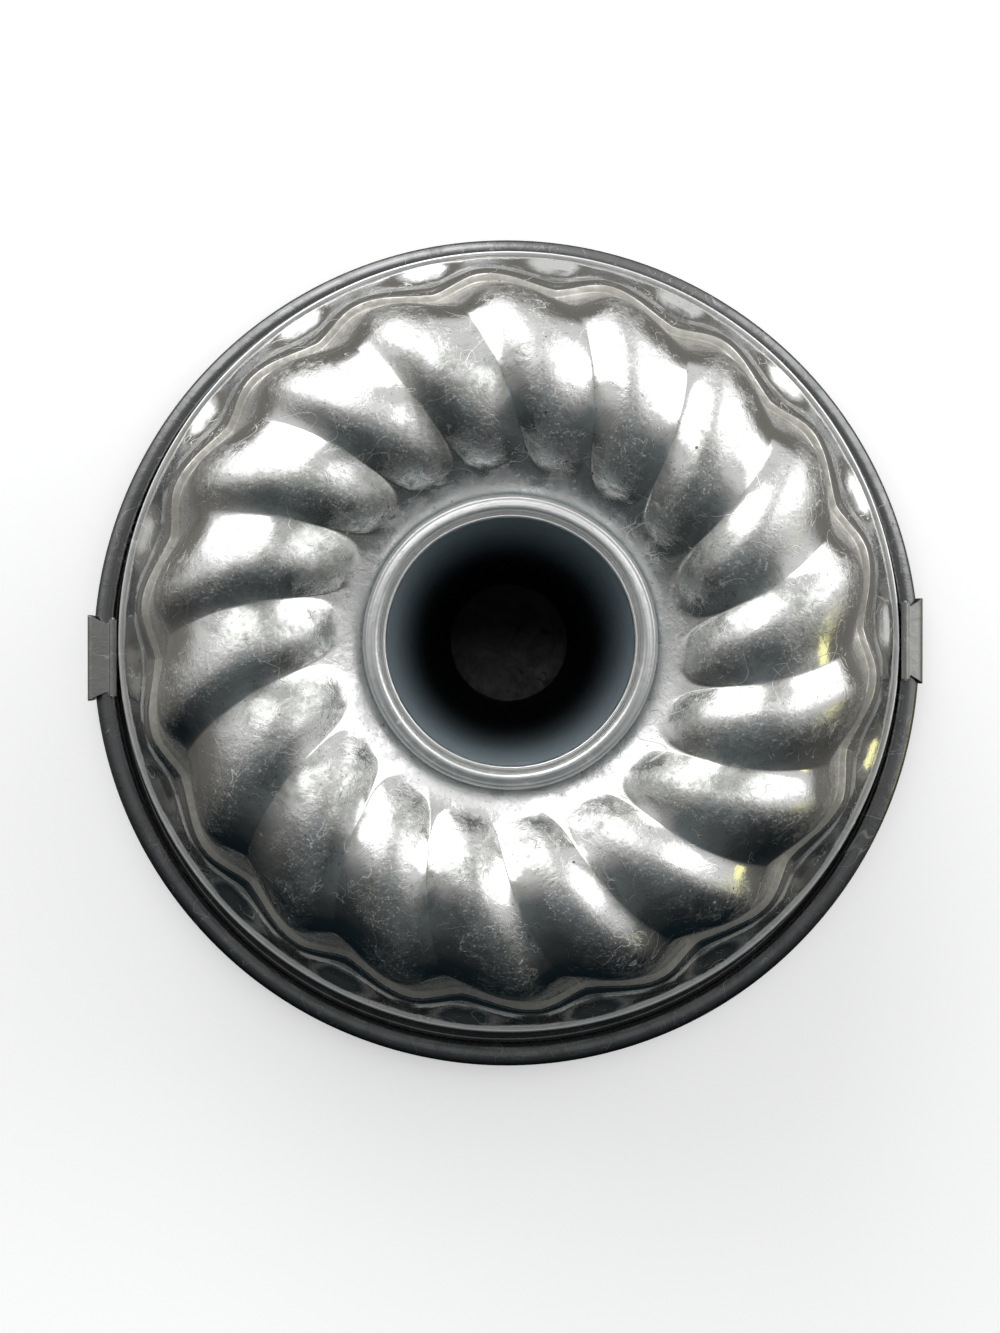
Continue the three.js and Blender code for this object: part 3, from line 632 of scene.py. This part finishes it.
# ---------------------------------------------------------------- clips on the lid's rolled rim
def clip(side, turn, close, along):
    """Bent sheet: a section in (outward, up) from the roll's centre, with a half width at each point."""
    ex, ez, er = -1.95, 3.06, 0.85
    eye = arc(ex, ez, er, -24, -336, 26)
    outline = [(x, z, 7.9) for x, z in eye]
    if close:
        # pressed close around the roll
        half = lambda x: 7.05 + 1.75 * min(1.0, max(0.0, (x + 0.95) / 3.6))
        outline += [(-1.0, 3.35, 7.25), (-0.7, 3.34, 7.05)]
        outline += [(x, z, half(x)) for x, z in arc(0, 0, 3.25, 90, -40, 26)]
        outline += [(x, z, 8.75) for x, z in arc(2.26, -1.90, 0.27, -42, -222, 5)[1:-1]]
        outline += [(x, z, half(x)) for x, z in arc(0, 0, 2.67, -40, 90, 22)]
        outline += [(-0.7, 2.75, 7.05), (-1.0, 2.75, 7.25)]
    else:
        # sprung open to a flat plate
        outline += [(-1.0, 3.35, 7.25), (-0.7, 3.35, 7.05), (0.8, 3.35, 7.6), (2.2, 3.35, 8.3)]
        outline += [(x, z, 8.45 + 0.35 * i / 8) for i, (x, z) in enumerate(arc(2.3, 2.25, 1.1, 90, 0, 8))]
        outline += [(3.4, 0.6, 8.8), (3.4, -1.2, 8.8), (3.4, -2.3, 8.75), (3.3, -2.52, 8.7), (3.05, -2.62, 8.65), (2.6, -2.55, 8.65), (2.45, -2.42, 8.65), (2.5, -2.1, 8.7),
                    (2.72, -1.7, 8.75), (2.8, -1.4, 8.8), (2.8, 0.6, 8.8), (2.8, 2.1, 8.8)]
        outline += [(x, z, 8.75 - 0.3 * i / 6) for i, (x, z) in enumerate(arc(2.3, 2.25, 0.5, 0, 90, 6))]
        outline += [(0.8, 2.75, 7.6), (-0.7, 2.75, 7.05), (-1.0, 2.75, 7.25)]
    o = np.array(outline)
    c, s = math.cos(math.radians(-turn)), math.sin(math.radians(-turn))
    soft = 0.11
    cols = [(-1.0, soft), (-1.0, 0.0), (-0.5, 0.0), (0.0, 0.0), (0.5, 0.0), (1.0, 0.0), (1.0, soft)]
    centre = o[:, :2].mean(0)
    rings = []
    nxt, prv = np.roll(o[:, :2], -1, 0), np.roll(o[:, :2], 1, 0)
    tang = nxt - prv
    norm = np.stack([tang[:, 1], -tang[:, 0]], 1)
    norm /= np.linalg.norm(norm, axis=1)[:, None]
    area = np.sum(o[:, 0] * nxt[:, 1] - nxt[:, 0] * o[:, 1])
    if area < 0:
        norm = -norm
    for f_, inset in cols:
        y = f_ * (o[:, 2] - (0 if inset else soft * 0.8))
        sec = o[:, :2] - norm * inset
        x2, z2 = sec[:, 0] * c - sec[:, 1] * s, sec[:, 0] * s + sec[:, 1] * c
        rings.append(np.stack([side * (BEAD_R + x2), y + along, BEAD_Z + z2], 1))
    m = len(o)
    v = np.vstack(rings)
    faces = [tuple(q) for q in grid_faces(len(rings), m, False, True)]
    # end walls of the bent sheet, around the rod's hole in the eye
    hole = arc(ex, ez, 0.42, 0, 360, 24)[:-1]
    return v, faces, m, len(rings), o, hole, (c, s)


def clip_object(name, node, side, turn, close, along):
    v, faces, m, n, o, hole, (c, s) = clip(side, turn, close, along)
    bm = bmesh.new()
    verts = [bm.verts.new(p * MM) for p in v]
    for q in faces:
        bm.faces.new([verts[i] for i in q])
    hx = hole[:, 0] * c - hole[:, 1] * s
    hz = hole[:, 0] * s + hole[:, 1] * c
    bores = []
    for end in (0, n - 1):
        y = (-1 if end == 0 else 1) * 7.9 + along
        ring = [bm.verts.new(np.array([side * (BEAD_R + x), y, BEAD_Z + z]) * MM) for x, z in zip(hx, hz)]
        bores.append(ring)
        edges = [bm.edges.new((ring[i], ring[(i + 1) % len(ring)])) for i in range(len(ring))]
        border = [bm.edges.get((verts[end * m + i], verts[end * m + (i + 1) % m])) for i in range(m)]
        bmesh.ops.triangle_fill(bm, use_beauty=True, use_dissolve=False, edges=edges + border)
    for i in range(len(hole)):
        k = (i + 1) % len(hole)
        bm.faces.new([bores[0][i], bores[0][k], bores[1][k], bores[1][i]])
    bmesh.ops.recalc_face_normals(bm, faces=bm.faces)
    me = bpy.data.meshes.new(name)
    bm.to_mesh(me)
    bm.free()
    me.polygons.foreach_set("use_smooth", [True] * len(me.polygons))
    me.set_sharp_from_angle(angle=math.radians(40))
    me.materials.append(CLIP_TIN)
    ob = bpy.data.objects.new(name, me)
    bpy.context.scene.collection.objects.link(ob)
    return ob


for tag, side, turn, close, along in (("left", -1, 0.0, False, -0.9), ("right", 1, 18.5, True, 2.6)):
    body = f"{tag}_clip"
    ob = clip_object(f"rim_clip_{tag}", f"clip_{tag}", side, turn, close, along)
    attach(ob, body)
    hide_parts(f"clip_{tag}")
    c, s = math.cos(math.radians(-turn)), math.sin(math.radians(-turn))
    x, z = side * (BEAD_R - 1.95 * c - 3.06 * s), BEAD_Z - 1.95 * s + 3.06 * c
    path = np.array([[x, y + along, z] for y in np.linspace(-8.1, 8.1, 9)])
    v, f = swept(path, 0.36, 16)
    mesh_object(f"eye_rod_{tag}", v, f, body, f"clip_rod_{tag}", WIRE_TIN, sharp=50)

# ---------------------------------------------------------------- handle under the lid
b, arm, small, big, stub = 22.5, 32.0, 3.0, 7.0, 32.0
right = np.vstack([
    [[0, -arm]], [[b - big, -arm]],
    arc(b - big, -arm + big, big, -90, 0, 10)[1:],
    [[b, -arm + big + 6], [b, -arm + big + 12], [b, -small - 3]],
    arc(b + small, -small, small, 180, 90, 8),
    [[b + small + 2, 0], [stub - 0.75, 0]]])
left = right[::-1][:-1] * [-1, 1]
flat = dense(np.vstack([left, right]), 1.6)
t = math.radians(BAIL_DROP)
path = np.stack([flat[:, 0], BAIL_Y + flat[:, 1] * math.cos(t), BAIL_Z + flat[:, 1] * math.sin(t)], 1)
v, f = swept(path, 1.5, 20)
mesh_object("bail", v, f, "handle", "bail_handle", WIRE_TIN, sharp=50)


def saddle(side):
    i, o = 1.6, 2.3
    high = PANEL_Z - 0.05 - BAIL_Z
    low = high - 0.7
    inner = np.vstack([[[-i, high]], arc(0, 0, i, 180, 360, 16), [[i, high]]])
    outer = np.vstack([[[o + 0.5, low]], [[o, low - 0.45]], arc(0, 0, o, 0, -180, 18), [[-o, low - 0.45]], [[-o - 0.5, low]]])
    outline = np.vstack([[[-9.2, high]], [[-6, high]], inner, [[6, high]], [[9.2, high]], [[9.5, high - 0.2]], [[9.5, low + 0.2]], [[9.2, low]], [[6, low]], outer, [[-6, low]], [[-9.2, low]], [[-9.5, low + 0.2]], [[-9.5, high - 0.2]]])
    xs = [26.0, 26.12, 27.2, 28.5, 29.8, 30.88, 31.0]
    inset = [0.1, 0, 0, 0, 0, 0, 0.1]
    nxt, prv = np.roll(outline, -1, 0), np.roll(outline, 1, 0)
    tang = nxt - prv
    norm = np.stack([tang[:, 1], -tang[:, 0]], 1)
    norm /= np.maximum(np.linalg.norm(norm, axis=1), 1e-9)[:, None]
    if np.sum(outline[:, 0] * nxt[:, 1] - nxt[:, 0] * outline[:, 1]) < 0:
        norm = -norm
    rings = []
    for x, d in zip(xs, inset):
        sec = outline - norm * d
        rings.append(np.stack([np.full(len(sec), side * x), BAIL_Y + sec[:, 0], BAIL_Z + sec[:, 1]], 1))
    m = len(outline)
    v = np.vstack(rings)
    faces = [tuple(q) for q in grid_faces(len(rings), m, False, True)]
    faces += [tuple(range(m)), tuple((len(rings) - 1) * m + k for k in range(m))]
    return v, faces


for tag, side in (("left", -1), ("right", 1)):
    v, f = saddle(side)
    mesh_object(f"bail_strap_{tag}", v, f, "lid", f"handle_saddle_{tag}", CLIP_TIN, sharp=45)

under, over = PANEL_Z - 0.8, top + 0.05
rivet_profile = np.vstack([
    [[0, under - 1.0]], [[0.4, under - 0.98]], [[0.9, under - 0.88]], [[1.4, under - 0.66]], [[1.8, under - 0.34]], [[2.0, under - 0.06]], [[1.95, under]], [[1.2, under]],
    [[1.2, over]], [[1.85, over]], [[1.9, over + 0.08]], [[1.7, over + 0.36]], [[1.2, over + 0.58]], [[0.6, over + 0.68]], [[0, over + 0.7]]])
number = 1
for sx in (-1, 1):
    for sy in (-1, 1):
        v, f = turned(rivet_profile, 32, (sx * 28.5, BAIL_Y + sy * 6.0, 0))
        mesh_object(f"rivet_{number}", v, f, "lid", f"handle_rivet_{number}", RIVET_TIN, sharp=45)
        number += 1

# ---------------------------------------------------------------- floor, light and camera
scene = bpy.context.scene
floor_mesh = bpy.data.meshes.new("floor")
S = 4.0
floor_mesh.from_pydata([(-S, -S, -0.0002), (S, -S, -0.0002), (S, S, -0.0002), (-S, S, -0.0002)], [], [(0, 1, 2, 3)])
floor = bpy.data.objects.new("floor", floor_mesh)
scene.collection.objects.link(floor)
g = Nodes("floor_paint")
g.link(g.mix(g.noise(3.0, 3, 0.5), (0.86, 0.86, 0.855, 1), (0.89, 0.89, 0.885, 1)), g.bsdf.inputs["Base Color"])
g.bsdf.inputs["Emission Color"].default_value = (1.0, 1.0, 0.995, 1)
g.bsdf.inputs["Emission Strength"].default_value = 0.45
g.bsdf.inputs["Roughness"].default_value = 0.8
floor_mesh.materials.append(g.mat)
# the metal sees the studio light all round, and the floor stays plain and pale
floor.visible_glossy = False
floor.visible_shadow = False

world = bpy.data.worlds.new("studio")
world.use_nodes = True
scene.world = world
w = Tree(world.node_tree)
w_out = w.t.nodes.new("ShaderNodeOutputWorld")
w_bg = w.t.nodes.new("ShaderNodeBackground")
w.link(w_bg.outputs[0], w_out.inputs[0])
w.coord = w.t.nodes.new("ShaderNodeTexCoord").outputs["Generated"]
wx, wy, wz = w.split(w.coord)
DEG = math.pi / 180
az = w.math("ARCTAN2", wy, wx)
el = w.math("ARCSINE", wz)


def rise(stops, tint_low, tint_high):
    """A colour by elevation from (degrees, level) stops."""
    n = w.t.nodes.new("ShaderNodeValToRGB")
    n.color_ramp.interpolation = "EASE"
    e = n.color_ramp.elements
    while len(e) < len(stops):
        e.new(0.5)
    for k, (deg, level) in enumerate(stops):
        tint = tint_low if deg < -10 else tint_high
        e[k].position = (deg + 90) / 180
        e[k].color = (level * tint[0], level * tint[1], level * tint[2], 1)
    w.link(w.fit(el, -90 * DEG, 90 * DEG, 0.0, 1.0, False), n.inputs["Fac"])
    return n.outputs["Color"]


def patch(az0, az_half, el0, el_half, soft, power=4.0):
    """A rounded soft-edged pane in the sky."""
    a = w.math("POWER", w.math("DIVIDE", w.math("ABSOLUTE", w.math("SUBTRACT", az, az0 * DEG)), az_half * DEG), power)
    b = w.math("POWER", w.math("DIVIDE", w.math("ABSOLUTE", w.math("SUBTRACT", el, el0 * DEG)), el_half * DEG), power)
    return w.fit(w.math("ADD", a, b), 1 - soft, 1 + soft, 1.0, 0.0)


# the room is dark on the near side and pale on the others
flat = w.math("MAXIMUM", w.math("SQRT", w.math("ADD", w.math("MULTIPLY", wx, wx), w.math("MULTIPLY", wy, wy))), 0.0005)
near = w.math("ADD", w.math("MULTIPLY", wx, math.cos(-97 * DEG)), w.math("MULTIPLY", wy, math.sin(-97 * DEG)))
off = w.math("ARCCOSINE", w.math("MAXIMUM", w.math("MINIMUM", w.math("DIVIDE", near, flat), 1.0), -1.0))
dim = rise(((-90, 0.004), (-30, 0.010), (0, 0.026), (30, 0.075), (50, 0.115), (63, 0.14), (77, 0.30), (90, 0.24)), (0.55, 1.0, 1.25), (0.88, 1.0, 1.05))
pale = rise(((-90, 0.19), (-45, 0.17), (-18, 0.20), (5, 0.24), (30, 0.31), (50, 0.40), (70, 0.38), (90, 0.22)), (1.04, 1.0, 0.92), (1.0, 1.0, 0.98))
sky = w.mix(w.fit(off, 40 * DEG, 100 * DEG), dim, pale)
# two soft windows at the back, in a paler wall
sky = w.mix(patch(78, 96, 18, 43, 0.55, 3.0), sky, (0.74, 0.75, 0.75, 1))
sky = w.mix(patch(33, 24, 16.5, 33.5, 0.5), sky, (1.85, 1.87, 1.88, 1))
sky = w.mix(patch(119, 28, 18.5, 38.5, 0.5), sky, (1.85, 1.87, 1.88, 1))
# a small warm glow low on the right
ga = w.math("DIVIDE", w.math("ADD", az, 14 * DEG), 10 * DEG)
ge = w.math("DIVIDE", w.math("ADD", el, 5 * DEG), 7 * DEG)
glow = w.math("SQRT", w.math("ADD", w.math("MULTIPLY", ga, ga), w.math("MULTIPLY", ge, ge)))
glow = w.math("ADD", glow, w.math("MULTIPLY", w.math("SUBTRACT", w.noise(9, 3, 0.6), 0.5), 1.6))
sky = w.mix(w.fit(glow, 0.75, 1.05, 1.0, 0.0), sky, (1.30, 1.27, 0.62, 1))
w.link(sky, w_bg.inputs["Color"])
w_bg.inputs["Strength"].default_value = 1.0


def area(name, place, aim, size, power, colour):
    lamp = bpy.data.lights.new(name, "AREA")
    lamp.shape = "RECTANGLE"
    lamp.size, lamp.size_y = size
    lamp.energy = power
    lamp.color = colour
    o = bpy.data.objects.new(name, lamp)
    scene.collection.objects.link(o)
    o.location = place
    o.rotation_mode = "QUATERNION"
    o.rotation_quaternion = (Vector(aim) - Vector(place)).to_track_quat("-Z", "Y")
    o.visible_camera = False
    return o


area("window_light", (-0.4, 1.5, 0.7), (0, 0, 0.05), (1.0, 0.8), 3, (1.0, 1.0, 1.0))

cam_data = bpy.data.cameras.new("camera")
cam = bpy.data.objects.new("camera", cam_data)
scene.collection.objects.link(cam)
scene.camera = cam
RIM_TOP = 0.0081
DISTANCE = 0.510
cam.location = (0.0005 - 0.0018, 0.0023 - 0.0005, RIM_TOP + DISTANCE)
cam.rotation_euler = (math.radians(-0.50), 0.0, 0.0)
cam_data.sensor_width = 36.0
cam_data.lens = 391.0 * DISTANCE / 0.080 * 36.0 / 1333.0
cam_data.clip_start, cam_data.clip_end = 0.01, 50.0
scene.view_settings.view_transform = "Standard"
